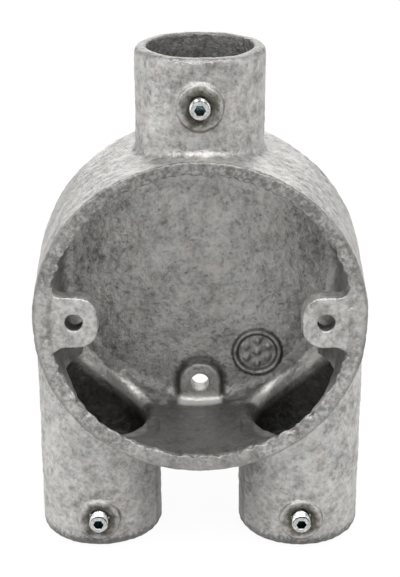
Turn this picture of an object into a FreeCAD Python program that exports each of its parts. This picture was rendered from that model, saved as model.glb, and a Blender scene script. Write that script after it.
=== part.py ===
"""Round three-way conduit box: a one-piece iron casting and the grub screws in its spouts."""

import FreeCAD, Part  # FreeCAD has to be loaded before Part
import math
import os

SIZES = {
    # The round box. Its open rim faces -Y and its flat back +Y, and it stands on its two lower spouts.
    "rim_radius": 33.9,
    "box_depth": 30.3,
    "side_draft": 2.0,
    "back_round": 3.0,
    "rim_round": 0.7,
    "hub_height": 54.3,
    "root_round": 1.6,
    # The room inside the box.
    "rim_width": 3.4,
    "room_taper": 0.4,
    "room_lift": 0.4,
    "floor_thickness": 2.5,
    "room_round": 2.8,
    "lip_round": 0.5,
    # The spouts: one up and two down, each almost as deep as the box.
    "spout_front": 3.7,
    "spout_back": 0.2,
    "spout_overhang": 0.95,
    "top_reach": 53.0,
    "shoulder_drop": 3.0,
    "mouth_round": 1.3,
    "mouth_ease": 0.6,
    # The bore that takes the conduit, its stop, and the neck from there into the room.
    "spout_wall": 2.7,
    "stop_width": 0.9,
    "stop_rise": 2.6,
    "neck_round": 2.4,
    "neck_end": 16.0,
    # The flare that opens each lower neck towards the rim.
    "flare_turn": 42.0,
    "flare_radius": 10.6,
    "flare_setback": 11.35,
    "flare_sink": 3.8,
    "flare_lead": 3.0,
    # The two lugs for the cover screws.
    "lug_inset": 8.5,
    "lug_half_width": 5.6,
    "lug_reach": 5.0,
    "lug_thickness": 4.0,
    "lug_corner": 4.4,
    "lug_root": 2.0,
    "cover_hole_radius": 1.65,
    "cover_hole_ease": 0.35,
    # The pad with the fixing hole, low on the floor.
    "pad_width": 9.2,
    "pad_rise": 2.0,
    "pad_leg": 6.3,
    "pad_sink": 1.0,
    "pad_root": 1.0,
    "pad_edge": 0.5,
    "fixing_inset": 5.0,
    "fixing_hole_radius": 1.9,
    # The bosses that the grub screws go through.
    "boss_radius": 4.7,
    "boss_rise": 0.8,
    "boss_sink": 2.0,
    "boss_edge": 0.5,
    "dish_radius": 3.7,
    "dish_depth": 1.1,
    "screw_inset": 9.4,
    "foot_inset": 7.0,
    # The M4 grub screws, their threads left plain.
    "screw_radius": 2.0,
    "screw_gap": 0.05,
    "screw_length": 5.0,
    "screw_clear": 0.1,
    "screw_ease": 0.4,
    "key_width": 2.0,
    "key_depth": 2.0,
    "cup_radius": 1.0,
    "cup_depth": 0.5,
    # The plain roundel cast on the floor.
    "roundel_inset": 7.73,
    "roundel_turn": 33.9,
    "roundel_radius": 5.3,
    "roundel_width": 0.7,
    "roundel_rise": 0.5,
    "pip_radius": 0.6,
    "pip_circle": 2.7,
}

# Across the depth of the box, from its rim to its floor.
RIM = "-Sizes.box_depth / 2"
FLOOR = "Sizes.box_depth / 2 - Sizes.floor_thickness"
PAD_FACE = f"{FLOOR} - Sizes.pad_rise"
FRONT = f"{RIM} + Sizes.spout_front"
SPOUT_RADIUS = "(Sizes.box_depth - Sizes.spout_front - Sizes.spout_back) / 2"
BORE_RADIUS = f"{SPOUT_RADIUS} - Sizes.spout_wall"
NECK_RADIUS = f"{BORE_RADIUS} - Sizes.stop_width"
SPOUT = f"{FRONT} + {SPOUT_RADIUS}"
# Up and across, from the middle of the open rim.
HUB = "Sizes.hub_height"
TOP = f"{HUB} + Sizes.top_reach"
ROOM = f"{HUB} + Sizes.room_lift"
ROOM_RADIUS = "(Sizes.rim_radius - Sizes.rim_width)"
SPOUT_SHIFT = f"(Sizes.rim_radius + Sizes.spout_overhang - {SPOUT_RADIUS})"
BORE_DEPTH = "(Sizes.top_reach - Sizes.rim_radius - Sizes.stop_rise)"
LUG_SHIFT = "(Sizes.rim_radius - Sizes.lug_inset)"
FIXING = f"{HUB} - {ROOM_RADIUS} + Sizes.fixing_inset"
ROUNDEL_SHIFT = f"({ROOM_RADIUS} - Sizes.roundel_inset)"
TO_BACK = FreeCAD.Rotation(FreeCAD.Vector(1, 0, 0), -90)
UPRIGHT = FreeCAD.Rotation()
SIDES = {"left": -1, "right": 1}
SPOUTS = {"top": 0, "lower_left": -1, "lower_right": 1}
TOUCH = 0.02
PIPS = 6


def make_sheet(doc):
    """Return the spreadsheet of driving dimensions, one aliased cell each."""
    sheet = doc.addObject("Spreadsheet::Sheet", "Sizes")
    for row, (name, value) in enumerate(SIZES.items(), start=1):
        sheet.set(f"A{row}", name)
        sheet.set(f"B{row}", str(value))
        sheet.setAlias(f"B{row}", name)
    doc.recompute()
    return sheet


def feature(body, kind, name, sizes, place=("0", "0", "0"), turn=UPRIGHT):
    """Add one primitive feature to a body, its sizes and its place bound to the sheet."""
    item = body.newObject(f"PartDesign::{kind}", name)
    item.Placement = FreeCAD.Placement(FreeCAD.Vector(), turn)
    for prop, text in sizes.items():
        item.setExpression(prop, text)
    for axis, text in zip("xyz", place):
        item.setExpression(f"Placement.Base.{axis}", text)
    body.Document.recompute()
    return item


def edges_where(item, test):
    """Return the names of a feature's edges that pass a test."""
    return [f"Edge{n}" for n, edge in enumerate(item.Shape.Edges, start=1) if test(edge)]


def soften(body, kind, name, base, edges, size):
    """Round or chamfer some edges of the body's last feature by one of the sheet's sizes."""
    item = body.newObject(f"PartDesign::{kind}", name)
    item.Base = (base, edges)
    item.setExpression("Radius" if kind == "Fillet" else "Size", size)
    body.Document.recompute()
    return item


def points(edge, count=9):
    """Return points spread evenly along an edge."""
    first, last = edge.ParameterRange
    return [edge.valueAt(first + (last - first) * n / (count - 1)) for n in range(count)]


def every(edge, test):
    """Tell whether every sampled point of an edge passes a test."""
    return all(test(point) for point in points(edge))


def is_circle(edge, radius):
    """Tell whether an edge is an arc or circle of a given radius."""
    return isinstance(edge.Curve, Part.Circle) and abs(edge.Curve.Radius - radius) < TOUCH


def runs_back(edge):
    """Tell whether an edge runs straight towards the back of the box."""
    return isinstance(edge.Curve, Part.Line) and abs(edge.tangentAt(edge.FirstParameter).y) > 1 - TOUCH


def is_plain(edge):
    """Tell whether an edge is a straight line or an arc of a circle."""
    return isinstance(edge.Curve, (Part.Circle, Part.Line))


class Layout:
    """Places worked out from the sheet, for choosing edges."""

    def __init__(self, sheet):
        for name in SIZES:
            setattr(self, name, getattr(sheet, name))
        self.rim_y = -self.box_depth / 2
        self.floor_y = self.box_depth / 2 - self.floor_thickness
        self.pad_waist_y = self.floor_y - self.pad_rise / 2
        self.draft = math.tan(math.radians(self.side_draft))
        self.back_radius = self.rim_radius + self.box_depth * self.draft
        self.room_radius = self.rim_radius - self.rim_width
        self.spout_radius = (self.box_depth - self.spout_front - self.spout_back) / 2
        self.spout_y = self.rim_y + self.spout_front + self.spout_radius
        self.spout_shift = self.rim_radius + self.spout_overhang - self.spout_radius
        self.bore_radius = self.spout_radius - self.spout_wall
        self.neck_radius = self.bore_radius - self.stop_width
        self.lug_shift = self.rim_radius - self.lug_inset

    def on_box(self, point):
        """Tell whether a point is on the drafted outside of the round box."""
        wall = self.rim_radius + (point.y - self.rim_y) * self.draft
        return abs(math.hypot(point.x, point.z - self.hub_height) - wall) < TOUCH

    def at_mouth(self, point):
        """Tell whether a point is level with the open end of a spout."""
        return min(abs(point.z), abs(point.z - self.hub_height - self.top_reach)) < TOUCH

    def at_lug_tip(self, point):
        """Tell whether a point is on the inner end of a lug, before its corners are rounded."""
        return abs(abs(point.x) - self.lug_shift + self.lug_reach) < TOUCH

    def at_lug_root(self, point):
        """Tell whether a point is where a lug's side meets the wall of the room."""
        up = abs(abs(point.z - self.hub_height) - self.lug_half_width)
        out = abs(math.hypot(point.x, point.z - self.hub_height - self.room_lift) - self.room_radius)
        return up < TOUCH and out < TOUCH

    def on_rim(self, point):
        """Tell whether a point is in the plane of the open rim."""
        return abs(point.y - self.rim_y) < TOUCH

    def on_lip(self, point):
        """Tell whether a point is on the inner outline of the rim and its lugs."""
        inside = math.hypot(point.x, point.z - self.hub_height) < self.rim_radius - 2 * self.rim_round
        from_hole = math.hypot(abs(point.x) - self.lug_shift, point.z - self.hub_height)
        return self.on_rim(point) and inside and from_hole > 2 * self.cover_hole_radius

    def on_pad_face(self, point):
        """Tell whether a point is on the flat face of the pad."""
        return abs(point.y - self.floor_y + self.pad_rise) < TOUCH

    def on_pad_side(self, point):
        """Tell whether a point is on the side of the pad, straight or arched."""
        up = point.z - (self.hub_height - self.room_radius + self.fixing_inset)
        out = math.hypot(point.x, up) if up > 0 else abs(point.x)
        return abs(out - self.pad_width / 2) < TOUCH and point.y > 0

    def round_a_spout(self, point, radius):
        """Tell whether a point is a given distance from the axis of any spout."""
        aways = (math.hypot(point.x - side * self.spout_shift, point.y - self.spout_y)
                 for side in SPOUTS.values())
        return any(abs(away - radius) < TOUCH for away in aways)

    def on_neck(self, point):
        """Tell whether a point is on the wall of any neck."""
        return self.round_a_spout(point, self.neck_radius)

    def on_barrel(self, point):
        """Tell whether a point is on the outside of any spout."""
        return self.round_a_spout(point, self.spout_radius)


def across(side):
    """Return the expression for where a spout stands across the box."""
    return f"{side} * {SPOUT_SHIFT}"


def screw_height(side):
    """Return the expression for the height of a spout's grub screw."""
    return "Sizes.foot_inset" if side else f"{HUB} + Sizes.top_reach - Sizes.screw_inset"


def add_outside(body, at):
    """Build the outside of the casting: round box, spouts, their roots, the flat back and the mouths."""
    deep = "(Sizes.box_depth + 10)"
    feature(
        body, "AdditiveCone", "round_box",
        {"Radius1": "Sizes.rim_radius", "Height": deep,
         "Radius2": f"Sizes.rim_radius + {deep} * tan(Sizes.side_draft * 1 deg)"},
        ("0", RIM, HUB), TO_BACK,
    )
    for name, side in SPOUTS.items():
        foot, reach = ("0", f"{HUB} - Sizes.shoulder_drop") if side else (HUB, "Sizes.top_reach")
        last = feature(
            body, "AdditiveCylinder", f"barrel_{name}",
            {"Radius": SPOUT_RADIUS, "Height": reach}, (across(side), SPOUT, foot),
        )
    roots = edges_where(last, lambda edge: every(edge, at.on_box) and every(edge, at.on_barrel))
    last = soften(body, "Fillet", "spout_roots", last, roots, "Sizes.root_round")
    last = feature(
        body, "SubtractiveBox", "flat_back",
        {"Length": "4 * Sizes.rim_radius", "Width": "Sizes.box_depth", "Height": "8 * Sizes.rim_radius"},
        ("-2 * Sizes.rim_radius", "Sizes.box_depth / 2", "-2 * Sizes.rim_radius"),
    )
    back = edges_where(last, lambda edge: is_circle(edge, at.back_radius))
    last = soften(body, "Fillet", "back_edge", last, back, "Sizes.back_round")
    rim = edges_where(last, lambda edge: is_circle(edge, at.rim_radius))
    last = soften(body, "Fillet", "rim_edge", last, rim, "Sizes.rim_round")
    mouths = edges_where(last, lambda edge: is_circle(edge, at.spout_radius) and every(edge, at.at_mouth))
    soften(body, "Fillet", "mouth_edges", last, mouths, "Sizes.mouth_round")


def add_opening(body, at):
    """Build the hollow's first layer: the round opening, narrowed by the two cover lugs."""
    feature(
        body, "AdditiveCylinder", "opening",
        {"Radius": ROOM_RADIUS, "Height": "Sizes.lug_thickness"}, ("0", RIM, ROOM), TO_BACK,
    )
    tip = f"({LUG_SHIFT} - Sizes.lug_reach)"
    for name, side in SIDES.items():
        last = feature(
            body, "SubtractiveBox", f"lug_{name}",
            {"Length": "Sizes.rim_radius", "Width": "2 * Sizes.lug_thickness",
             "Height": "2 * Sizes.lug_half_width"},
            (tip if side > 0 else f"-{tip} - Sizes.rim_radius", f"{RIM} - Sizes.lug_thickness / 2",
             f"{HUB} - Sizes.lug_half_width"),
        )
    corners = edges_where(last, lambda edge: every(edge, at.at_lug_tip) and runs_back(edge))
    last = soften(body, "Fillet", "lug_corners", last, corners, "Sizes.lug_corner")
    roots = edges_where(last, lambda edge: every(edge, at.at_lug_root) and runs_back(edge))
    soften(body, "Fillet", "lug_roots", last, roots, "Sizes.lug_root")


def make_hollow(doc, at):
    """Return the body that is taken out of the casting: the room, the necks and the bores."""
    body = doc.addObject("PartDesign::Body", "hollow")
    add_opening(body, at)
    last = feature(
        body, "AdditiveCone", "bowl",
        {"Radius1": ROOM_RADIUS, "Radius2": f"{ROOM_RADIUS} - Sizes.room_taper",
         "Height": "Sizes.box_depth - Sizes.floor_thickness - Sizes.lug_thickness"},
        ("0", f"{RIM} + Sizes.lug_thickness", ROOM), TO_BACK,
    )
    floor = edges_where(last, lambda edge: is_circle(edge, at.room_radius - at.room_taper))
    last = soften(body, "Fillet", "floor_edge", last, floor, "Sizes.room_round")
    for name, side in SPOUTS.items():
        foot, tip = (BORE_DEPTH, f"{HUB} - Sizes.neck_end") if side else (
            f"{HUB} + Sizes.neck_end", f"{TOP} - {BORE_DEPTH}")
        last = feature(
            body, "AdditiveCylinder", f"neck_{name}",
            {"Radius": NECK_RADIUS, "Height": f"{tip} - ({foot})"}, (across(side), SPOUT, foot),
        )
    meeting = edges_where(last, lambda edge: every(edge, at.on_neck) and not is_plain(edge))
    soften(body, "Fillet", "neck_edges", last, meeting, "Sizes.neck_round")
    reach = f"({ROOM_RADIUS} + Sizes.flare_sink)"
    for name, side in SIDES.items():
        feature(
            body, "AdditiveCone", f"flare_{name}",
            {"Radius1": "Sizes.flare_radius - Sizes.flare_sink",
             "Radius2": "Sizes.flare_radius + Sizes.flare_lead", "Height": "Sizes.flare_sink + Sizes.flare_lead"},
            (f"{side} * {reach} * sin(Sizes.flare_turn * 1 deg)", f"{RIM} + Sizes.flare_setback",
             f"{ROOM} - {reach} * cos(Sizes.flare_turn * 1 deg)"),
            FreeCAD.Rotation(FreeCAD.Vector(0, 1, 0), -side * at.flare_turn),
        )
    for name, side in SPOUTS.items():
        foot = "-Sizes.mouth_round" if side else f"{TOP} - {BORE_DEPTH}"
        feature(
            body, "AdditiveCylinder", f"bore_{name}",
            {"Radius": BORE_RADIUS, "Height": f"{BORE_DEPTH} + Sizes.mouth_round"},
            (across(side), SPOUT, foot),
        )
    return body


def add_pad(body, at):
    """Add the round-topped pad that carries the fixing hole."""
    depth = "Sizes.pad_rise + Sizes.pad_sink"
    feature(
        body, "AdditiveCylinder", "pad_arch",
        {"Radius": "Sizes.pad_width / 2", "Height": depth}, ("0", PAD_FACE, FIXING), TO_BACK,
    )
    last = feature(
        body, "AdditiveBox", "pad_leg",
        {"Length": "Sizes.pad_width", "Width": depth, "Height": "Sizes.pad_leg"},
        ("-Sizes.pad_width / 2", PAD_FACE, f"{FIXING} - Sizes.pad_leg"),
    )
    crest = edges_where(last, lambda edge: every(edge, at.on_pad_side) and every(edge, at.on_pad_face))
    last = soften(body, "Fillet", "pad_crest", last, crest, "Sizes.pad_edge")
    root = edges_where(last, lambda edge: every(edge, at.on_pad_side) and edge.CenterOfMass.y > at.pad_waist_y)
    soften(body, "Fillet", "pad_root", last, root, "Sizes.pad_root")


def add_roundel(body):
    """Add the plain roundel on the floor: a raised ring with a pip in the middle and six round it."""
    centre_x = f"{ROUNDEL_SHIFT} * sin(Sizes.roundel_turn * 1 deg)"
    centre_z = f"{HUB} - {ROUNDEL_SHIFT} * cos(Sizes.roundel_turn * 1 deg)"
    face = f"{FLOOR} - Sizes.roundel_rise"
    feature(
        body, "AdditiveCylinder", "roundel",
        {"Radius": "Sizes.roundel_radius", "Height": "Sizes.roundel_rise + Sizes.pad_sink"},
        (centre_x, face, centre_z), TO_BACK,
    )
    feature(
        body, "SubtractiveCylinder", "roundel_field",
        {"Radius": "Sizes.roundel_radius - Sizes.roundel_width", "Height": "Sizes.roundel_rise"},
        (centre_x, face, centre_z), TO_BACK,
    )
    for number in range(PIPS + 1):
        ring = "Sizes.pip_circle" if number else "0"
        turn = f"{number * 360 / PIPS} deg"
        feature(
            body, "AdditiveCylinder", f"pip_{number}",
            {"Radius": "Sizes.pip_radius", "Height": "Sizes.roundel_rise + Sizes.pad_sink"},
            (f"{centre_x} + {ring} * sin({turn})", face, f"{centre_z} + {ring} * cos({turn})"), TO_BACK,
        )


def add_bosses(body, at):
    """Add the round boss that each grub screw goes through, with its dish and its hole."""
    face = f"{FRONT} - Sizes.boss_rise"
    for name, side in SPOUTS.items():
        last = feature(
            body, "AdditiveCylinder", f"boss_{name}",
            {"Radius": "Sizes.boss_radius", "Height": "Sizes.boss_rise + Sizes.boss_sink"},
            (across(side), face, screw_height(side)), TO_BACK,
        )
    rings = edges_where(last, lambda edge: is_circle(edge, at.boss_radius))
    soften(body, "Fillet", "boss_edges", last, rings, "Sizes.boss_edge")
    for name, side in SPOUTS.items():
        place = (across(side), face, screw_height(side))
        feature(
            body, "SubtractiveCone", f"dish_{name}",
            {"Radius1": "Sizes.dish_radius", "Radius2": "Sizes.screw_radius", "Height": "Sizes.dish_depth"},
            place, TO_BACK,
        )
        feature(
            body, "SubtractiveCylinder", f"screw_hole_{name}",
            {"Radius": "Sizes.screw_radius + Sizes.screw_gap", "Height": SPOUT_RADIUS},
            place, TO_BACK,
        )


def drill(body, at):
    """Drill the cover holes and the fixing hole, and ease the inner edges of the mouths and the rim."""
    for name, side in SIDES.items():
        feature(
            body, "SubtractiveCylinder", f"cover_hole_{name}",
            {"Radius": "Sizes.cover_hole_radius", "Height": "2 * Sizes.lug_thickness"},
            (f"{side} * {LUG_SHIFT}", f"{RIM} - Sizes.lug_thickness / 2", HUB), TO_BACK,
        )
    last = feature(
        body, "SubtractiveCylinder", "fixing_hole",
        {"Radius": "Sizes.fixing_hole_radius", "Height": "Sizes.box_depth"},
        ("0", f"{PAD_FACE} - Sizes.pad_rise", FIXING), TO_BACK,
    )
    holes = edges_where(last, lambda edge: is_circle(edge, at.cover_hole_radius) and every(edge, at.on_rim))
    last = soften(body, "Chamfer", "cover_hole_ease", last, holes, "Sizes.cover_hole_ease")
    bores = edges_where(last, lambda edge: is_circle(edge, at.bore_radius) and every(edge, at.at_mouth))
    last = soften(body, "Fillet", "mouth_ease", last, bores, "Sizes.mouth_ease")
    lip = edges_where(last, lambda edge: every(edge, at.on_lip))
    soften(body, "Fillet", "lip", last, lip, "Sizes.lip_round")


def make_casting(doc, at):
    """Build the one-piece casting."""
    body = doc.addObject("PartDesign::Body", "box_casting")
    add_outside(body, at)
    cut = body.newObject("PartDesign::Boolean", "hollowed")
    cut.setObjects([make_hollow(doc, at)])
    cut.Type = "Cut"
    doc.recompute()
    add_pad(body, at)
    add_roundel(body)
    add_bosses(body, at)
    drill(body, at)
    return body


def make_screw(doc, at, name, side):
    """Build the M4 grub screw of one spout: hexagon socket outside, cup point towards the conduit."""
    body = doc.addObject("PartDesign::Body", f"set_screw_{name}")
    last = feature(
        body, "AdditiveCylinder", "shank",
        {"Radius": "Sizes.screw_radius", "Height": "Sizes.screw_length"}, turn=TO_BACK,
    )
    ends = edges_where(last, lambda edge: is_circle(edge, at.screw_radius))
    soften(body, "Chamfer", "end_chamfers", last, ends, "Sizes.screw_ease")
    feature(
        body, "SubtractivePrism", "key_socket",
        {"Circumradius": "Sizes.key_width / 2 / cos(30 deg)", "Height": "Sizes.key_depth"}, turn=TO_BACK,
    )
    feature(
        body, "SubtractiveCone", "cup_point",
        {"Radius1": "0", "Radius2": "Sizes.cup_radius", "Height": "Sizes.cup_depth"},
        ("0", "Sizes.screw_length - Sizes.cup_depth", "0"), TO_BACK,
    )
    outer_end = f"{FRONT} + Sizes.spout_wall - Sizes.screw_clear - Sizes.screw_length"
    place = (across(side), outer_end, screw_height(side))
    for axis, text in zip("xyz", place):
        body.setExpression(f"Placement.Base.{axis}", text)
    doc.recompute()
    return body


def check(doc, parts):
    """Stop if any object failed, or if any sub-part isn't one valid solid."""
    for item in doc.Objects:
        if {"Invalid", "Error"} & set(item.State):
            raise RuntimeError(f"{item.Label} failed: {item.State}")
    for part in parts:
        if part.Shape.isNull() or not part.Shape.isValid() or len(part.Shape.Solids) != 1:
            raise RuntimeError(f"{part.Label} isn't one valid solid")


def main():
    """Build the document, check it and write one STEP file for each sub-part."""
    doc = FreeCAD.newDocument("conduit_box")
    at = Layout(make_sheet(doc))
    parts = [make_casting(doc, at)]
    parts += [make_screw(doc, at, name, side) for name, side in SPOUTS.items()]
    check(doc, parts)
    os.makedirs("parts", exist_ok=True)
    for part in parts:
        part.Shape.exportStep(f"parts/{part.Label}.step")
        print(part.Label, round(part.Shape.Volume, 1), "mm3")


main()
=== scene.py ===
"""The looks of a round three-way conduit box: a galvanised iron casting and its zinc-plated grub screws."""

from __future__ import annotations

import logging
import math
from dataclasses import dataclass
from enum import Enum
from typing import NamedTuple, Protocol

import bmesh
import bpy
import numpy as np
from mathutils import Matrix, Vector, noise

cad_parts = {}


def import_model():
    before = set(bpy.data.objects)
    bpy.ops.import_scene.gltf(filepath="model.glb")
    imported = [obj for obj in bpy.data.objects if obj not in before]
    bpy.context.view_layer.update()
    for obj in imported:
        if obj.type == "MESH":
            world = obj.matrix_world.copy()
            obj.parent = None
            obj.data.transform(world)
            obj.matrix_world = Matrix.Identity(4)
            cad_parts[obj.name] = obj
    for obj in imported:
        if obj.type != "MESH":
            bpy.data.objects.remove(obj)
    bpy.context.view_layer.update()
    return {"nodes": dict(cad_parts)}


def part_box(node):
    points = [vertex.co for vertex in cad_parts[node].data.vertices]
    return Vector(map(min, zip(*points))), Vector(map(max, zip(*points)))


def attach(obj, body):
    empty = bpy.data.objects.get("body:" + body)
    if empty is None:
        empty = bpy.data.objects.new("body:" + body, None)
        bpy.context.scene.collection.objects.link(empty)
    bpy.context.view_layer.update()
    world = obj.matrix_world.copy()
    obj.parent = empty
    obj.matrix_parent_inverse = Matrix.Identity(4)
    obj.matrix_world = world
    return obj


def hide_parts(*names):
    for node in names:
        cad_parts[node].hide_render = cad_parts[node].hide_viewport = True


LOG = logging.getLogger("conduit_box")
MM = 0.001
NOISE_MEAN = 0.5
WHITE = (1.0, 1.0, 1.0)
TO_BACK = Matrix.Rotation(math.radians(-90), 4, "X")

Colour = tuple[float, float, float]


class Mixing(Enum):
    """How a colour goes over another."""

    PLAIN = "MIX"
    DARKEN = "MULTIPLY"


class Step(NamedTuple):
    """Where a smooth step starts and where it is full, which may be the lower of the two."""

    start: float
    full: float


class Blobs(NamedTuple):
    """A noise: its blobs' size in millimetres, how many finer layers it has and how strong those are."""

    size: float
    detail: float
    rough: float = 0.55


class Wire:
    """One output of a shader tree, with arithmetic that adds Math nodes."""

    def __init__(self, shader: Shader, socket: bpy.types.NodeSocket) -> None:
        """Keep the tree and the socket.

        Args:
            shader: The tree that the socket belongs to.
            socket: The output socket.
        """
        self.shader = shader
        self.socket = socket

    def _math(self, operation: str, first: Wire | float, second: Wire | float = 0.0) -> Wire:
        """Add a Math node.

        Args:
            operation: The node's operation.
            first: Its first value.
            second: Its second value.

        Returns:
            The node's output.
        """
        return self.shader.node("ShaderNodeMath", {"operation": operation}, {0: first, 1: second})

    def __add__(self, other: Wire | float) -> Wire:
        """Return self + other."""
        return self._math("ADD", self, other)

    def __sub__(self, other: Wire | float) -> Wire:
        """Return self - other."""
        return self._math("SUBTRACT", self, other)

    def __rsub__(self, other: Wire | float) -> Wire:
        """Return other - self."""
        return self._math("SUBTRACT", other, self)

    def __mul__(self, other: Wire | float) -> Wire:
        """Return self * other."""
        return self._math("MULTIPLY", self, other)

    def __pow__(self, other: float) -> Wire:
        """Return self raised to a power."""
        return self._math("POWER", self, other)

    def absolute(self) -> Wire:
        """Return the value without its sign."""
        return self._math("ABSOLUTE", self)

    def least(self, other: Wire | float) -> Wire:
        """Return the smaller of two values."""
        return self._math("MINIMUM", self, other)

    def most(self, other: Wire | float) -> Wire:
        """Return the larger of two values."""
        return self._math("MAXIMUM", self, other)

    def over(self, step: Step) -> Wire:
        """Return 0 up to the start of a step, 1 from where it is full, and a smooth rise between the two.

        Args:
            step: The step.

        Returns:
            The stepped value.
        """
        settings = {"interpolation_type": "SMOOTHSTEP"}
        limits = {1: min(step), 2: max(step)}
        rise = self.shader.node("ShaderNodeMapRange", settings, {0: self, **limits})
        return 1.0 - rise if step.start > step.full else rise


class Shader:
    """The node tree of a material or a world."""

    def __init__(self, owner: bpy.types.Material | bpy.types.World) -> None:
        """Start an empty tree.

        Args:
            owner: The material or world.
        """
        owner.use_nodes = True
        self.owner = owner
        self.tree = owner.node_tree
        self.tree.nodes.clear()

    def node(
        self,
        kind: str,
        settings: dict[str, object] | None = None,
        inputs: dict[str | int, object] | None = None,
        output: str | int = 0,
    ) -> Wire:
        """Add a node, set it up and fill its inputs.

        Args:
            kind: The node's type.
            settings: Its properties.
            inputs: Values, colours or wires for its sockets, by name or number.
            output: Which of its outputs to return.

        Returns:
            That output.
        """
        node = self.tree.nodes.new(kind)
        for name, value in (settings or {}).items():
            setattr(node, name, value)
        for key, value in (inputs or {}).items():
            if isinstance(value, Wire):
                self.tree.links.new(value.socket, node.inputs[key])
            else:
                node.inputs[key].default_value = value
        return Wire(self, node.outputs[output])

    def place(self) -> Wire:
        """Return the surface point in millimetres, in the piece's own coordinates."""
        point = self.node("ShaderNodeTexCoord", output="Object")
        return self.node("ShaderNodeVectorMath", {"operation": "SCALE"}, {0: point, "Scale": 1 / MM})

    def noise(self, place: Wire, blobs: Blobs) -> Wire:
        """Add a noise.

        Args:
            place: The point, in millimetres.
            blobs: What the noise is like.

        Returns:
            The noise, from 0 to 1.
        """
        inputs = {"Vector": place, "Scale": 1 / blobs.size, "Detail": blobs.detail, "Roughness": blobs.rough}
        return self.node("ShaderNodeTexNoise", {"normalize": True}, inputs, "Fac")

    def split(self, place: Wire) -> tuple[Wire, Wire, Wire]:
        """Return a point's three coordinates.

        Args:
            place: The point.

        Returns:
            The coordinates across, back and up.
        """
        node = self.node("ShaderNodeSeparateXYZ", None, {0: place}).socket.node
        return tuple(Wire(self, output) for output in node.outputs)

    def length(self, first: Wire, second: Wire) -> Wire:
        """Return the length of two coordinates taken together.

        Args:
            first: The first coordinate.
            second: The second one.

        Returns:
            The length.
        """
        return (first * first + second * second) ** 0.5

    def distance(self, place: Wire, end: Vector) -> Wire:
        """Return how far a point is from a fixed one.

        Args:
            place: The point.
            end: The fixed point.

        Returns:
            The distance.
        """
        return self.node("ShaderNodeVectorMath", {"operation": "DISTANCE"}, {0: place, 1: end}, "Value")

    def mix(
        self, share: Wire | float, under: Wire | Colour, over: Wire | Colour, how: Mixing = Mixing.PLAIN
    ) -> Wire:
        """Mix two colours.

        Args:
            share: How much of the second one shows.
            under: The first colour.
            over: The second colour.
            how: How it goes over the first.

        Returns:
            The mixed colour.
        """
        colours = {6: self._colour(under), 7: self._colour(over)}
        settings = {"data_type": "RGBA", "blend_type": how.value}
        return self.node("ShaderNodeMix", settings, {0: share, **colours}, 2)

    @staticmethod
    def _colour(value: Wire | Colour) -> Wire | tuple[float, ...]:
        """Give a plain colour its fourth number.

        Args:
            value: A wire, which stays as it is, or a plain colour.

        Returns:
            What a colour socket takes.
        """
        return value if isinstance(value, Wire) else (*value, 1.0)

    def bump(self, height: Wire, strength: float, distance: float) -> Wire:
        """Tilt the surface by a height.

        Args:
            height: The height, from 0 to 1.
            strength: How much of it counts.
            distance: What a height of 1 stands for, in metres.

        Returns:
            The tilted normal.
        """
        return self.node(
            "ShaderNodeBump", None, {"Strength": strength, "Distance": distance, "Height": height}
        )

    def principled(self, inputs: dict[str, object]) -> bpy.types.Material:
        """Add the Principled shader and the output.

        Args:
            inputs: Values and wires for the Principled shader.

        Returns:
            The finished material.
        """
        self.finish(self.node("ShaderNodeBsdfPrincipled", None, inputs))
        return self.owner

    def finish(self, surface: Wire) -> None:
        """Connect a surface to the tree's output.

        Args:
            surface: The surface, or a world's background.
        """
        kind = "World" if isinstance(self.owner, bpy.types.World) else "Material"
        target = self.tree.nodes.new(f"ShaderNodeOutput{kind}")
        self.tree.links.new(surface.socket, target.inputs["Surface"])


@dataclass(frozen=True)
class Plan:
    """Main places of the box, in metres. Across, all is even about its middle."""

    screws: tuple[Vector, ...]
    rim: float = -15.15 * MM
    floor: float = 12.65 * MM
    hub: float = 54.3 * MM
    top: float = 107.3 * MM
    spout_depth: float = 1.75 * MM
    spout_shift: float = 21.65 * MM


class Spot:
    """A point of the casting's skin: where it is from the box's main places, all in millimetres."""

    def __init__(self, shader: Shader, plan: Plan, mottle: Blobs, grain: Blobs) -> None:
        """Measure the point.

        Args:
            shader: The casting's tree.
            plan: The box's main places.
            mottle: The coarser noise that breaks up edges.
            grain: The finer one.
        """
        self.shader = shader
        self.place = shader.place()
        self.screws = tuple(end / MM for end in plan.screws)
        self.across, back, self.up = shader.split(self.place)
        self.aside = self.across.absolute()
        self.above_hub = self.up - plan.hub / MM
        self.above_top = self.up - plan.top / MM
        self.out = shader.length(self.across, self.above_hub)
        self.behind_rim = back - plan.rim / MM
        self.behind_floor = back - plan.floor / MM
        self.behind_spout = back - plan.spout_depth / MM
        self.off_spout = self.aside - plan.spout_shift / MM
        self.mottle = shader.noise(self.place, mottle)
        self.grain = shader.noise(self.place, grain)


class Mask(Protocol):
    """Something that covers a share of the casting's skin."""

    def share(self, spot: Spot) -> Wire:
        """Return the share that is covered at a spot.

        Args:
            spot: The spot.

        Returns:
            The share, from 0 to 1.
        """


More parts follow.
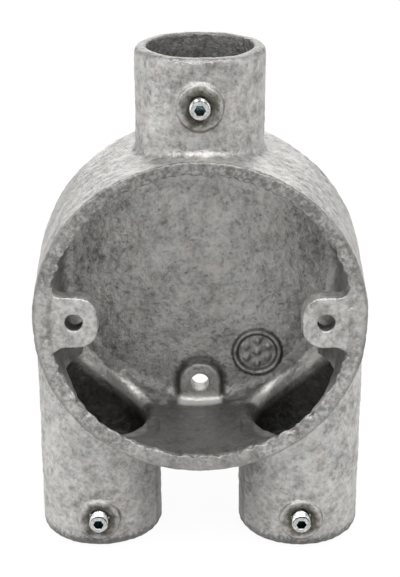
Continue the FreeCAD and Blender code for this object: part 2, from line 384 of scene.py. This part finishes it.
@dataclass(frozen=True)
class RimSkinAndEdgeShade:
    """The dark rough skin of the rim, with a thin line of painted shade along each of its edges."""

    face: Step = Step(1.0, 0.5)
    wander: float = 1.6
    outer_line: Step = Step(33.6, 34.3)
    outer_share: float = 0.5
    inner_line: Step = Step(30.4, 29.8)
    inner_end: Step = Step(29.6, 30.2)
    inner_share: float = 0.3
    flecks: Step = Step(0.62, 0.40)
    flecks_share: float = 0.26
    plain_share: float = 0.16
    upper: Step = Step(5.0, 28.0)
    upper_share: float = 0.24
    beside_lugs: Step = Step(3.0, 12.0)
    beside_lugs_share: float = 0.3
    middle: Step = Step(30.0, 31.0)
    inside_share: float = 0.3

    def share(self, spot: Spot) -> Wire:
        """Return how much of the dark skin and the painted edge shade shows at a spot.

        Args:
            spot: The spot.

        Returns:
            The share, from 0 to 1.
        """
        # Painted shade: a thin dark line along the rim's outer edge and along its inner edge.
        outer = (spot.out + spot.grain * self.wander).over(self.outer_line) * self.outer_share
        inner = (spot.out - spot.grain * self.wander).over(self.inner_line) * spot.out.over(self.inner_end)
        rough = spot.grain.over(self.flecks) * self.flecks_share + self.plain_share
        rough = rough + spot.above_hub.over(self.upper) * self.upper_share
        lugs = spot.above_hub.absolute().over(self.beside_lugs)
        rough = rough * (lugs * (1.0 - self.beside_lugs_share) + self.beside_lugs_share)
        rough = rough * (spot.out.over(self.middle) * (1.0 - self.inside_share) + self.inside_share)
        return spot.behind_rim.over(self.face) * rough.most(outer).most(inner * self.inner_share)


@dataclass(frozen=True)
class PaintedFloorShade:
    """Painted shade in the corner round the pad and along the roundel's ring, on the floor's front only."""

    front: Step = Step(-1.9, -1.0)
    back: Step = Step(1.6, 1.0)
    arch_drop: float = 25.5
    pad_edge: Step = Step(4.3, 4.8)
    pad_fade: Step = Step(7.4, 5.8)
    pad_wander: float = 1.2
    pad_bottom: Step = Step(23.0, 24.5)
    pad_top: Step = Step(-17.5, -20.0)
    pad_share: float = 0.85
    roundel_shift: float = 12.7
    roundel_drop: float = 18.9
    outside: Step = Step(5.0, 5.4)
    outside_fade: Step = Step(6.6, 6.1)
    inside: Step = Step(4.7, 4.5)
    inside_fade: Step = Step(3.9, 4.1)
    roundel_share: float = 0.8

    def share(self, spot: Spot) -> Wire:
        """Return how much painted shade lies at a spot.

        Args:
            spot: The spot.

        Returns:
            The share, from 0 to 1.
        """
        on_floor = spot.behind_floor.over(self.front) * spot.behind_floor.over(self.back)
        # Painted shade: dark bands round the pad's arch and sides.
        pad = spot.shader.length(spot.across, (spot.above_hub + self.arch_drop).most(0.0))
        beside = pad.over(self.pad_edge) * (pad + spot.grain * self.pad_wander).over(self.pad_fade)
        beside = beside * spot.up.over(self.pad_bottom) * spot.above_hub.over(self.pad_top)
        # Painted shade: dark lines along the roundel's ring.
        ring = spot.shader.length(spot.across - self.roundel_shift, spot.above_hub + self.roundel_drop)
        lines = ring.over(self.outside) * (ring + spot.grain).over(self.outside_fade)
        lines = lines.most(ring.over(self.inside_fade) * ring.over(self.inside))
        return on_floor * (beside * self.pad_share).most(lines * self.roundel_share)


@dataclass(frozen=True)
class PaintedGrooveShade:
    """Painted shade along the low corner between the floor and the room's wall."""

    inner: Step = Step(28.2, 29.4)
    outer: Step = Step(30.8, 30.0)
    front: Step = Step(-5.0, -2.5)
    back: Step = Step(1.6, 1.0)
    low: Step = Step(-14.0, -19.0)
    beside_pad: Step = Step(6.0, 8.0)
    strength: float = 0.5

    def share(self, spot: Spot) -> Wire:
        """Return how much painted shade lies at a spot.

        Args:
            spot: The spot.

        Returns:
            The share, from 0 to 1.
        """
        # Painted shade in the low corner where the floor meets the wall.
        edge = spot.out + spot.grain
        ring = edge.over(self.inner) * edge.over(self.outer)
        ring = ring * spot.behind_floor.over(self.front) * spot.behind_floor.over(self.back)
        return ring * spot.above_hub.over(self.low) * spot.aside.over(self.beside_pad) * self.strength


@dataclass(frozen=True)
class PaintedSpoutShade:
    """Painted shade on the spouts: a painted shadow at their feet, and shade on the sides that face each other,
    at the top one's mouth and along its length.
    """

    foot: Step = Step(4.5, 2.5)
    foot_wander: float = 2.6
    foot_share: float = 0.78
    wide_foot: Step = Step(6.5, 2.5)
    wide_foot_wander: float = 3.0
    wide_foot_share: float = 0.25
    inner_side: Step = Step(-4.5, -10.5)
    inner_top: Step = Step(30.0, 22.0)
    inner_share: float = 0.4
    mouth: Step = Step(-1.2, 0.2)
    mouth_wander: float = 1.2
    mouth_share: float = 0.45
    upper: Step = Step(-29.0, -18.0)
    upper_share: float = 0.11

    def share(self, spot: Spot) -> Wire:
        """Return how much painted shade lies at a spot.

        Args:
            spot: The spot.

        Returns:
            The share, from 0 to 1.
        """
        # Painted shadow where the lower spouts stand on the ground, with a wider, fainter band above it.
        foot = (spot.up + spot.grain * self.foot_wander).over(self.foot) * self.foot_share
        wide_foot = (spot.up + spot.grain * self.wide_foot_wander).over(self.wide_foot) * self.wide_foot_share
        # Painted shade on the sides of the lower spouts that face each other.
        inner = spot.off_spout.over(self.inner_side) * spot.up.over(self.inner_top) * self.inner_share
        # Painted shade at the top spout's mouth and along its length.
        mouth = (spot.above_top + spot.grain * self.mouth_wander).over(self.mouth) * self.mouth_share
        upper = spot.above_top.over(self.upper) * self.upper_share
        return foot.most(wide_foot).most(inner).most(mouth).most(upper)


@dataclass(frozen=True)
class PaintedWallShade:
    """Painted shade on the wall of the room, more of it low down and under the lugs."""

    lift: float = 0.4
    inner: Step = Step(29.0, 29.9)
    outer: Step = Step(32.0, 31.4)
    front: Step = Step(0.7, 1.6)
    back: Step = Step(-1.0, -4.0)
    below_lug: Step = Step(-2.0, -6.0)
    above_opening: Step = Step(-20.0, -12.0)
    lug_share: float = 0.25
    low: Step = Step(-14.0, -24.0)
    low_share: float = 0.44
    plain_share: float = 0.22
    mottle_share: float = 0.1

    def share(self, spot: Spot) -> Wire:
        """Return how much painted shade lies at a spot.

        Args:
            spot: The spot.

        Returns:
            The share, from 0 to 1.
        """
        # Painted shade on the room's wall, more of it low down and under the lugs.
        wall = spot.shader.length(spot.across, spot.above_hub - self.lift).over(self.inner)
        wall = wall * spot.out.over(self.outer)
        wall = wall * spot.behind_rim.over(self.front) * spot.behind_floor.over(self.back)
        under = spot.above_hub.over(self.below_lug) * spot.above_hub.over(self.above_opening)
        low = spot.above_hub.over(self.low) * self.low_share + self.plain_share
        return wall * (low + under * self.lug_share + spot.mottle * self.mottle_share)


@dataclass(frozen=True)
class PaintedHoleShade:
    """Painted shade inside the holes for the cover screws."""

    shift: float = 25.4
    radius: Step = Step(1.95, 1.75)
    front: Step = Step(0.3, 0.8)
    back: Step = Step(4.8, 4.3)
    strength: float = 0.85

    def share(self, spot: Spot) -> Wire:
        """Return how much painted shade lies at a spot.

        Args:
            spot: The spot.

        Returns:
            The share, from 0 to 1.
        """
        # Painted shade inside each cover screw's hole.
        hole = spot.shader.length(spot.aside - self.shift, spot.above_hub).over(self.radius)
        return hole * spot.behind_rim.over(self.front) * spot.behind_rim.over(self.back) * self.strength


@dataclass(frozen=True)
class PaintedRidgeHighlight:
    """Painted highlight along the low ridges of the room and on the pad's foot."""

    inner: Step = Step(29.7, 30.5)
    outer: Step = Step(33.2, 32.2)
    front: Step = Step(-7.0, -5.5)
    back: Step = Step(1.6, 1.0)
    beside_pad: Step = Step(6.0, 8.0)
    strength: float = 2.2
    foot_depth: float = 2.8
    foot_drop: float = 29.6
    foot_reach: Step = Step(2.3, 0.6)
    foot_width: Step = Step(5.4, 4.6)
    foot_share: float = 0.8
    low: Step = Step(-13.0, -20.0)

    def share(self, spot: Spot) -> Wire:
        """Return how much painted highlight lies at a spot.

        Args:
            spot: The spot.

        Returns:
            The share, from 0 to 1.
        """
        # Painted highlight along the fillet where the floor meets the wall.
        edge = spot.out + spot.mottle - NOISE_MEAN
        ridge = edge.over(self.inner) * edge.over(self.outer)
        ridge = ridge * spot.behind_floor.over(self.front) * spot.behind_floor.over(self.back)
        ridge = ridge * spot.aside.over(self.beside_pad) * (spot.mottle * self.strength).least(1.0)
        # Painted highlight on the fillet at the pad's foot.
        foot = spot.shader.length(spot.behind_floor + self.foot_depth, spot.above_hub + self.foot_drop)
        foot = foot.over(self.foot_reach) * spot.aside.over(self.foot_width) * self.foot_share
        return ridge.most(foot) * spot.above_hub.over(self.low)


@dataclass(frozen=True)
class PaintedBoreShade:
    """Painted shade in the bores of the spouts."""

    radius: Step = Step(11.4, 10.7)
    lower_start: Step = Step(32.5, 35.0)
    lower_top: Step = Step(0.0, -14.3)
    upper_start: Step = Step(32.0, 35.0)
    upper_share: float = 0.5

    def share(self, spot: Spot) -> Wire:
        """Return how much painted shade lies at a spot.

        Args:
            spot: The spot.

        Returns:
            The share, from 0 to 1.
        """
        # Painted shade deep in the bores of the lower spouts, and half as much in the top one.
        lower = spot.shader.length(spot.off_spout, spot.behind_spout).over(self.radius)
        lower = lower * spot.out.over(self.lower_start) * spot.above_hub.over(self.lower_top)
        upper = spot.shader.length(spot.across, spot.behind_spout).over(self.radius)
        return lower.most(upper * spot.out.over(self.upper_start) * self.upper_share)


@dataclass(frozen=True)
class PaintedBossShade:
    """Painted shade round the grub screws: in the dish round each one and along the lower edge of its boss, and
    a wide patch darker round it.
    """

    dish_shade: Step = Step(5.0, 3.4)
    dish_shade_wander: float = 3.0
    line_inner: Step = Step(5.0, 5.5)
    line_outer: Step = Step(6.5, 5.9)
    line_wander: float = 0.8
    line_share: float = 0.8
    below: Step = Step(2.5, -1.5)
    lean: float = 0.5
    wide_patch: Step = Step(9.5, 4.0)
    wide_patch_wander: float = 5.0
    wide_patch_share: float = 0.25
    strength: float = 0.85

    def share(self, spot: Spot) -> Wire:
        """Return how much painted shade lies at a spot.

        Args:
            spot: The spot.

        Returns:
            The share, from 0 to 1.
        """
        first, *others = (self._round_screw(spot, end) for end in spot.screws)
        for other in others:
            first = first.most(other)
        return first * self.strength

    def _round_screw(self, spot: Spot, end: Vector) -> Wire:
        """Return how much painted shade lies round one screw.

        Args:
            spot: The spot.
            end: The screw's outer end, in millimetres.

        Returns:
            The painted shade's share, from 0 to 1.
        """
        away = spot.shader.distance(spot.place, end)
        # Painted shade in the dish round the screw.
        dish_shade = (away + (spot.mottle - NOISE_MEAN) * self.dish_shade_wander).over(self.dish_shade)
        edge = away + spot.mottle * self.line_wander
        # Painted shade along the lower edge of the boss, which faces down.
        below = (spot.up - end.z - (spot.across - end.x) * self.lean).over(self.below)
        line = edge.over(self.line_inner) * edge.over(self.line_outer) * below * self.line_share
        wide_patch = (away + (spot.mottle - NOISE_MEAN) * self.wide_patch_wander).over(self.wide_patch) * self.wide_patch_share
        return dish_shade.most(line).most(wide_patch)


@dataclass(frozen=True)
class GalvanisedIron:
    """Rough sand-cast iron under a mottled coat of zinc."""

    light: Colour = (0.61, 0.602, 0.59)
    dark: Colour = (0.13, 0.127, 0.12)
    warm: Colour = (1.0, 0.975, 0.96)
    cool: Colour = (0.97, 0.985, 0.985)
    # Colour of the dark specks and the rim's dark skin, and of the painted shade.
    dirt_and_shade: Colour = (0.07, 0.068, 0.062)
    # Colour of the painted highlight.
    painted_highlight: Colour = (0.92, 0.90, 0.87)
    # Colour of the painted shade round the screw bosses.
    boss_shade: Colour = (0.33, 0.30, 0.23)
    # Colour of the painted shade in the bores.
    bore_shade: Colour = (0.19, 0.19, 0.18)
    metallic: float = 0.7
    roughness: float = 0.17
    mottle_roughness: float = 0.25
    grain_roughness: float = 0.35
    patches: Blobs = Blobs(7.0, 3.0)
    mottle: Blobs = Blobs(2.1, 4.0, 0.65)
    grain: Blobs = Blobs(0.85, 2.0, 0.65)
    specks: Blobs = Blobs(1.1, 2.0, 0.6)
    tints: Blobs = Blobs(3.0, 3.0)
    patches_tone: float = 0.9
    mottle_tone: float = 1.5
    tone_drop: float = 1.2
    tone_range: Step = Step(-0.35, 1.1)
    tint_range: Step = Step(0.35, 0.65)
    speck_range: Step = Step(0.38, 0.28)
    speck_share: float = 0.25
    relief: float = 0.6
    speck_relief: float = 0.2
    bump_strength: float = 0.9
    bump_distance: float = 0.35 * MM
    # The rim's dark skin and edge shade, and the masks of painted shade.
    dirt_and_shade_masks: tuple[Mask, ...] = (RimSkinAndEdgeShade(), PaintedFloorShade(), PaintedGrooveShade(), PaintedSpoutShade(), PaintedWallShade(), PaintedHoleShade())

    def material(self, plan: Plan) -> bpy.types.Material:
        """Make the material.

        Args:
            plan: The box's main places, for what lies in and round them.

        Returns:
            The material.
        """
        shader = Shader(bpy.data.materials.new("galvanised_iron"))
        spot = Spot(shader, plan, self.mottle, self.grain)
        speck = shader.noise(spot.place, self.specks).over(self.speck_range)
        base = self._zinc(spot)
        # Dark specks, the rim's dark skin and the painted shade all darken towards one colour.
        dirt_and_shade = speck * self.speck_share
        for mask in self.dirt_and_shade_masks:
            dirt_and_shade = dirt_and_shade.most(mask.share(spot))
        base = shader.mix(dirt_and_shade, base, self.dirt_and_shade)
        # Painted highlight along the low ridges of the room and on the pad's foot.
        base = shader.mix(PaintedRidgeHighlight().share(spot), base, self.painted_highlight)
        # Painted shade round the screw bosses.
        base = shader.mix(PaintedBossShade().share(spot), base, self.boss_shade, Mixing.DARKEN)
        # Painted shade in the bores.
        base = shader.mix(PaintedBoreShade().share(spot), base, self.bore_shade, Mixing.DARKEN)
        height = (spot.mottle + spot.grain) * self.relief - speck * self.speck_relief
        rough = spot.grain * self.grain_roughness + spot.mottle * self.mottle_roughness + self.roughness
        return shader.principled(
            {
                "Base Color": base,
                "Roughness": rough.least(1.0),
                "Metallic": self.metallic,
                "Normal": shader.bump(height, self.bump_strength, self.bump_distance),
            }
        )

    def _zinc(self, spot: Spot) -> Wire:
        """Return the colour of the clean coat of zinc.

        Args:
            spot: The spot.

        Returns:
            The colour.
        """
        shader = spot.shader
        tone = shader.noise(spot.place, self.patches) * self.patches_tone + spot.mottle * self.mottle_tone
        tone = tone + spot.grain - self.tone_drop
        base = shader.mix(tone.over(self.tone_range), self.dark, self.light)
        turn = shader.noise(spot.place, self.tints).over(self.tint_range)
        return shader.mix(1.0, base, shader.mix(turn, self.warm, self.cool), Mixing.DARKEN)


@dataclass(frozen=True)
class ZincPlate:
    """Bright zinc plate on a small steel screw."""

    name: str = "zinc_plate"
    colour: Colour = (0.66, 0.67, 0.66)
    shade: Colour = (0.36, 0.38, 0.37)
    clouds: Blobs = Blobs(0.6, 3.0)
    cloud_range: Step = Step(0.3, 0.7)
    brushing: Blobs = Blobs(0.12, 2.0)
    roughness: float = 0.16
    brushing_roughness: float = 0.15
    bump_strength: float = 0.25
    bump_distance: float = 0.03 * MM

    def material(self) -> bpy.types.Material:
        """Make the material.

        Returns:
            The material.
        """
        shader = Shader(bpy.data.materials.new(self.name))
        place = shader.place()
        brushed = shader.noise(place, self.brushing)
        cloud = shader.noise(place, self.clouds).over(self.cloud_range)
        return shader.principled(
            {
                "Base Color": shader.mix(cloud, self.shade, self.colour),
                "Roughness": brushed * self.brushing_roughness + self.roughness,
                "Metallic": 1.0,
                "Normal": shader.bump(brushed, self.bump_strength, self.bump_distance),
            }
        )


@dataclass(frozen=True)
class StudioFloor:
    """The white ground, which looks white to the camera and still takes a soft shadow."""

    colour: Colour = (0.86, 0.86, 0.86)
    glow: float = 1.0
    shadow_share: float = 0.05

    def material(self) -> bpy.types.Material:
        """Make the material.

        Returns:
            The material.
        """
        shader = Shader(bpy.data.materials.new("studio_floor"))
        lit = shader.node("ShaderNodeBsdfDiffuse", None, {"Color": (*self.colour, 1.0)})
        glow = shader.node("ShaderNodeEmission", None, {"Color": (*WHITE, 1.0), "Strength": self.glow})
        seen = shader.node("ShaderNodeLightPath", output="Is Camera Ray")
        mirrored = shader.node("ShaderNodeLightPath", output="Is Glossy Ray")
        through = shader.node("ShaderNodeLightPath", output="Is Transmission Ray")
        share = (seen + mirrored + through).least(1.0) * (1.0 - self.shadow_share)
        shader.finish(shader.node("ShaderNodeMixShader", None, {0: share, 1: lit, 2: glow}))
        return shader.owner


def add_piece(
    name: str, mesh: bpy.types.Mesh, materials: list[bpy.types.Material], body: str
) -> bpy.types.Object:
    """Put a finished mesh into the scene as a piece that rides on a body.

    Args:
        name: The piece's name.
        mesh: Its mesh, in place.
        materials: Its materials.
        body: The body it rides on.

    Returns:
        The piece.
    """
    kinds = [face.material_index for face in mesh.polygons]
    mesh.materials.clear()
    for material in materials:
        mesh.materials.append(material)
    mesh.polygons.foreach_set("material_index", kinds)
    piece = bpy.data.objects.new(name, mesh)
    bpy.context.scene.collection.objects.link(piece)
    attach(piece, body)
    LOG.info("%s: %d faces", name, len(mesh.polygons))
    return piece


@dataclass
class BoxCasting:
    """The one-piece casting, with the uneven skin that the sand mould leaves."""

    cad: bpy.types.Object
    plan: Plan
    voxel: float = 0.34 * MM
    pieces: int = 4
    merge_distance: float = 1e-7
    smoothing: int = 2
    smoothing_factor: float = 0.5
    wave: float = 0.16 * MM
    wave_size: float = 7.0 * MM
    wave_offset: float = 0.6
    grit: float = 0.12 * MM
    grit_size: float = 1.3 * MM
    grit_offset: float = 0.4
    ragged: float = 0.8 * MM
    ragged_size: float = 1.3 * MM
    lip_radius: float = 30.6 * MM
    lip_reach: float = 1.6 * MM
    lip_depth: float = 2.5 * MM

    def build(self, material: bpy.types.Material) -> None:
        """Make the casting, in pieces of equal size from the bottom up.

        Args:
            material: Its finish.
        """
        skin = self._even_mesh()
        self._roughen(skin)
        for number, mesh in enumerate(self._cut(skin), start=1):
            piece = add_piece(f"casting_skin_{number}", mesh, [material], "box")
            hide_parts("box_casting")

    def _even_mesh(self) -> bpy.types.Mesh:
        """Return a copy of the plain casting with even small faces.

        Returns:
            The mesh.
        """
        merged = bpy.data.meshes.new("casting_copy")
        shape = bmesh.new()
        shape.from_mesh(self.cad.data)
        bmesh.ops.remove_doubles(shape, verts=shape.verts, dist=self.merge_distance)
        shape.to_mesh(merged)
        shape.free()
        holder = bpy.data.objects.new("casting_holder", merged)
        bpy.context.scene.collection.objects.link(holder)
        remesh = holder.modifiers.new("even", "REMESH")
        remesh.mode = "VOXEL"
        remesh.voxel_size = self.voxel
        smooth = holder.modifiers.new("smooth", "SMOOTH")
        smooth.factor = self.smoothing_factor
        smooth.iterations = self.smoothing
        evaluated = holder.evaluated_get(bpy.context.evaluated_depsgraph_get())
        mesh = bpy.data.meshes.new_from_object(evaluated)
        bpy.data.objects.remove(holder)
        return mesh

    def _roughen(self, mesh: bpy.types.Mesh) -> None:
        """Press the mould's unevenness into the skin, without leaving the plain casting's box.

        Args:
            mesh: The mesh to change.
        """
        low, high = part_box("box_casting")
        shape = bmesh.new()
        shape.from_mesh(mesh)
        shape.normal_update()
        for vertex in shape.verts:
            point = vertex.co
            sink = self.wave * (noise.noise(point / self.wave_size) - self.wave_offset)
            sink += self.grit * (noise.noise(point / self.grit_size) - self.grit_offset)
            sink += self._raggedness(point)
            moved = point + vertex.normal * sink
            vertex.co = Vector(tuple(min(max(c, a), b) for c, a, b in zip(moved, low, high)))
        shape.to_mesh(mesh)
        shape.free()

    def _raggedness(self, point: Vector) -> float:
        """Return how far the ragged inner edge of the rim steps in or out.

        Args:
            point: A point of the skin.

        Returns:
            The step, in metres.
        """
        out = math.hypot(point.x, point.z - self.plan.hub)
        near_lip = max(0.0, 1.0 - abs(out - self.lip_radius) / self.lip_reach)
        near_rim = max(0.0, 1.0 - (point.y - self.plan.rim) / self.lip_depth)
        return self.ragged * near_lip * near_rim * noise.noise(point / self.ragged_size)

    def _cut(self, skin: bpy.types.Mesh) -> list[bpy.types.Mesh]:
        """Cut the skin into level layers whose shading meets without a seam.

        Args:
            skin: The whole skin.

        Returns:
            The layers, from the bottom up.
        """
        normals = np.zeros(len(skin.vertices) * 3, dtype=np.float32)
        skin.vertex_normals.foreach_get("vector", normals)
        normals = normals.reshape(-1, 3)
        heights = np.array([face.center.z for face in skin.polygons])
        order = np.argsort(heights, kind="stable")
        layers = []
        for number, faces in enumerate(np.array_split(order, self.pieces), start=1):
            corners = np.array([skin.polygons[int(face)].vertices[:] for face in faces])
            used, again = np.unique(corners, return_inverse=True)
            places = np.array([skin.vertices[int(index)].co[:] for index in used])
            mesh = bpy.data.meshes.new(f"casting_skin_{number}")
            mesh.from_pydata(places.tolist(), [], again.reshape(corners.shape).tolist())
            mesh.shade_smooth()
            mesh.normals_split_custom_set_from_vertices(normals[used].tolist())
            layers.append(mesh)
        return layers


@dataclass
class GrubScrew:
    """An M4 grub screw: threaded shank, hexagon socket outside and cup point inside."""

    node: str
    body: str
    radius: float = 2.0 * MM
    root: float = 1.8 * MM
    root_sink: float = 0.1 * MM
    pitch: float = 0.7 * MM
    foot_share: float = 0.42
    crest_share: float = 0.07
    start_share: float = 0.55
    key_width: float = 2.0 * MM
    key_depth: float = 2.0 * MM
    key_room: float = 1.08
    lip_width: float = 0.04 * MM
    lip_depth: float = 0.05 * MM
    wall_taper: float = 0.0005 * MM
    cup: float = 1.0 * MM
    cup_depth: float = 0.4 * MM
    cup_slope: float = 0.8
    segments: int = 48
    sharp_angle: float = 35.0

    def build(self, materials: list[bpy.types.Material]) -> None:
        """Make the screw where the plain one stands, in whose place it is shown.

        Args:
            materials: Its finish, and the painted shade inside its socket.
        """
        low, high = (Vector(corner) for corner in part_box(self.node))
        centre = (low + high) / 2
        length = high.y - low.y
        shape = bmesh.new()
        self._shank(shape, length)
        self._thread(shape, length)
        place = Matrix.Translation((centre.x, low.y, centre.z))
        bmesh.ops.transform(shape, matrix=place, verts=shape.verts)
        mesh = bpy.data.meshes.new(self.node)
        shape.to_mesh(mesh)
        shape.free()
        mesh.shade_smooth()
        mesh.set_sharp_from_angle(angle=math.radians(self.sharp_angle))
        piece = add_piece(self.node + "_dressed", mesh, materials, self.body)
        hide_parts(self.node)

    def _shank(self, shape: bmesh.types.BMesh, length: float) -> None:
        """Add the core: a hexagon socket in its outer end and a cup in its inner one.

        Args:
            shape: Where to add it.
            length: The screw's length.
        """
        made = bmesh.ops.create_cone(
            shape, cap_ends=True, cap_tris=False, segments=self.segments,
            radius1=self.root, radius2=self.root, depth=length,
            matrix=TO_BACK @ Matrix.Translation((0, 0, length / 2)),
        )
        faces = {face for vertex in made["verts"] for face in vertex.link_faces}
        outer = min(faces, key=lambda face: face.calc_center_median().y)
        inner = max(faces, key=lambda face: face.calc_center_median().y)
        self._socket(shape, outer)
        self._cup(shape, inner)

    def _socket(self, shape: bmesh.types.BMesh, face: bmesh.types.BMFace) -> None:
        """Sink the hexagon socket into the outer end.

        Args:
            shape: The screw.
            face: The outer end, which becomes the socket's bottom.
        """
        corner = self.key_width / 2 / math.cos(math.pi / 6)
        bmesh.ops.inset_region(shape, faces=[face], thickness=self.root - corner * self.key_room)
        for vertex in face.verts:
            vertex.co = self._on_hexagon(vertex.co, corner)
        bmesh.ops.inset_region(shape, faces=[face], thickness=self.lip_width)
        bmesh.ops.translate(shape, verts=list(face.verts), vec=(0, self.lip_depth, 0))
        wall = bmesh.ops.inset_region(shape, faces=[face], thickness=self.wall_taper)
        bmesh.ops.translate(shape, verts=list(face.verts), vec=(0, self.key_depth - self.lip_depth, 0))
        # The socket's walls and bottom take the painted shade.
        for dark in (face, *wall["faces"]):
            dark.material_index = 1

    def _on_hexagon(self, point: Vector, corner: float) -> Vector:
        """Return a point of the ring moved onto the hexagon's outline.

        Args:
            point: The point.
            corner: How far the hexagon's corners are from its middle.

        Returns:
            The moved point.
        """
        turn = math.atan2(point.z, point.x)
        sector = math.pi / 3
        across = corner * math.cos(sector / 2) / math.cos((turn % sector) - sector / 2)
        return Vector((across * math.cos(turn), point.y, across * math.sin(turn)))

    def _cup(self, shape: bmesh.types.BMesh, face: bmesh.types.BMFace) -> None:
        """Sink the cup point into the inner end.

        Args:
            shape: The screw.
            face: The inner end.
        """
        bmesh.ops.inset_region(shape, faces=[face], thickness=self.root - self.cup)
        bmesh.ops.inset_region(shape, faces=[face], thickness=self.cup * self.cup_slope)
        bmesh.ops.translate(shape, verts=list(face.verts), vec=(0, -self.cup_depth, 0))

    def _thread(self, shape: bmesh.types.BMesh, length: float) -> None:
        """Add the thread as a ridge that winds round the core.

        Args:
            shape: The screw.
            length: The screw's length.
        """
        sunk = self.root - self.root_sink
        foot, crest = self.foot_share * self.pitch, self.crest_share * self.pitch
        profile = [
            (sunk, -foot), (self.root, -foot), (self.radius, -crest),
            (self.radius, crest), (self.root, foot), (sunk, foot),
        ]
        start = self.start_share * self.pitch
        turns = (length - 2 * start) / self.pitch
        verts = [shape.verts.new((out, start + along, 0.0)) for out, along in profile]
        face = shape.faces.new(verts)
        steps = round(turns * self.segments)
        bmesh.ops.spin(
            shape, geom=[face, *face.edges, *verts], cent=(0, 0, 0), axis=(0, 1, 0),
            dvec=(0, turns * self.pitch / steps, 0), angle=turns * math.tau, steps=steps, use_duplicate=False,
        )
        bmesh.ops.recalc_face_normals(shape, faces=shape.faces)


@dataclass(frozen=True)
class SoftLamp:
    """A square soft lamp: where it hangs and how wide it is, in metres, and its power in watts."""

    name: str
    place: tuple[float, float, float]
    size: float
    power: float

    def build(self, target: Vector) -> None:
        """Hang the lamp.

        Args:
            target: What it points at.
        """
        light = bpy.data.lights.new(self.name, "AREA")
        light.shape = "SQUARE"
        light.size = self.size
        light.energy = self.power
        lamp = bpy.data.objects.new(self.name, light)
        lamp.location = self.place
        lamp.rotation_euler = (target - Vector(self.place)).to_track_quat("-Z", "Y").to_euler()
        bpy.context.scene.collection.objects.link(lamp)


@dataclass(frozen=True)
class Studio:
    """The white ground, the soft lamps and the camera."""

    target: Vector
    ground_size: float = 3.0
    world: float = 0.4
    camera_place: tuple[float, float, float] = (0.0, -0.29175, 0.1744)
    camera_tilt: float = 67.88
    lens: float = 93.84
    sensor: float = 36.0
    lamps: tuple[SoftLamp, ...] = (
        SoftLamp("lamp_left", (-0.30, -0.30, 0.72), 0.5, 4.0),
        SoftLamp("lamp_right", (0.30, -0.30, 0.72), 0.5, 4.0),
        SoftLamp("side_left", (-0.62, -0.05, 0.22), 0.5, 1.35),
        SoftLamp("side_right", (0.62, -0.05, 0.22), 0.5, 0.8),
        SoftLamp("lamp_back", (0.0, 0.85, 0.40), 0.9, 5.0),
    )

    def build(self, floor: bpy.types.Material) -> None:
        """Put everything in place.

        Args:
            floor: The ground's material.
        """
        self._ground(floor)
        for lamp in self.lamps:
            lamp.build(self.target)
        self._sky()
        self._camera()

    def _ground(self, material: bpy.types.Material) -> None:
        """Lay the ground.

        Args:
            material: Its material.
        """
        shape = bmesh.new()
        bmesh.ops.create_grid(shape, x_segments=1, y_segments=1, size=self.ground_size)
        mesh = bpy.data.meshes.new("studio_floor")
        shape.to_mesh(mesh)
        shape.free()
        mesh.materials.append(material)
        ground = bpy.data.objects.new("studio_floor", mesh)
        bpy.context.scene.collection.objects.link(ground)

    def _sky(self) -> None:
        """Give the world an even light, which looks white to the camera."""
        world = bpy.data.worlds.new("studio_world")
        shader = Shader(world)
        seen = shader.node("ShaderNodeLightPath", output="Is Camera Ray")
        strength = seen * (1.0 - self.world) + self.world
        shader.finish(shader.node("ShaderNodeBackground", None, {"Color": (*WHITE, 1.0), "Strength": strength}))
        bpy.context.scene.world = world

    def _camera(self) -> None:
        """Set up the camera in front of and above the box."""
        data = bpy.data.cameras.new("camera")
        data.lens = self.lens
        data.sensor_width = self.sensor
        data.sensor_fit = "AUTO"
        camera = bpy.data.objects.new("camera", data)
        camera.location = self.camera_place
        camera.rotation_euler = (math.radians(self.camera_tilt), 0, 0)
        bpy.context.scene.collection.objects.link(camera)
        bpy.context.scene.camera = camera


def outer_end(node: str) -> Vector:
    """Return the middle of a grub screw's outer end.

    Args:
        node: The screw's node.

    Returns:
        The point, in metres.
    """
    low, high = (Vector(corner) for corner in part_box(node))
    return Vector(((low.x + high.x) / 2, low.y, (low.z + high.z) / 2))


def main() -> None:
    """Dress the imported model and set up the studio."""
    logging.basicConfig(level=logging.INFO, format="%(name)s: %(message)s")
    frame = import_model()
    screws = [node for node in sorted(frame["nodes"]) if node.startswith("set_screw")]
    plan = Plan(tuple(outer_end(node) for node in screws))
    iron = GalvanisedIron().material(plan)
    zinc = ZincPlate().material()
    # Painted shade inside the hexagon sockets: a darker, teal-tinted copy of the zinc plate.
    shadowed = ZincPlate("zinc_in_socket_painted_shade", colour=(0.13, 0.20, 0.20), shade=(0.03, 0.045, 0.05)).material()
    for name, cad in frame["nodes"].items():
        cad.data.materials.clear()
        cad.data.materials.append(zinc if name in screws else iron)
    BoxCasting(frame["nodes"]["box_casting"], plan).build(iron)
    for node in screws:
        GrubScrew(node, node.replace("set_screw", "screw")).build([zinc, shadowed])
    low, high = (Vector(corner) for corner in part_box("box_casting"))
    Studio(target=(low + high) / 2).build(StudioFloor().material())
    bpy.context.scene.view_settings.view_transform = "Standard"


if __name__ == "__main__":
    main()
